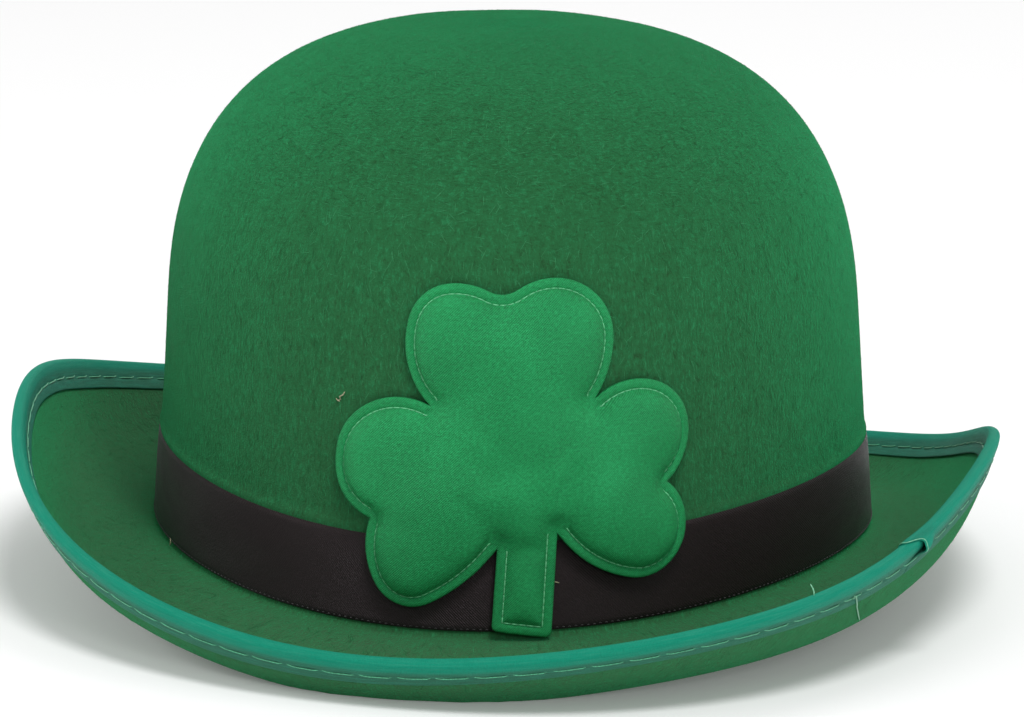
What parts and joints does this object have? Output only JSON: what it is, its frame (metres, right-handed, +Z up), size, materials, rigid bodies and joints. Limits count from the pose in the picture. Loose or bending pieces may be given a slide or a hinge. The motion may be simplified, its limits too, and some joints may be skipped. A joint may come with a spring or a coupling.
{
  "type": "leprechaun hat",
  "caption": "Moulded green felt bowler hat with raised side brim, black satin band, folded tape on the brim's edge and a padded shamrock.",
  "frame": {"origin": "on the surface that the hat rests on, under the middle of its bounding box", "axes": "+Z up, the front of the hat towards -Y, the wearer's left towards +X"},
  "size_m": [0.2396, 0.3054, 0.1343],
  "materials": {
    "felt": "matte brushed wool-like felt with a short directional nap",
    "band_satin": "black satin ribbon with a soft purple-grey sheen",
    "edge_tape": "blue-green woven tape, stitched through",
    "shamrock_satin": "green satin with a crisp sheen, padded"
  },
  "bodies": {
    "root": {"felt_body": "felt", "hat_band": "band_satin", "edge_binding": "edge_tape", "shamrock_patch": "shamrock_satin"}
  },
  "joints": []
}
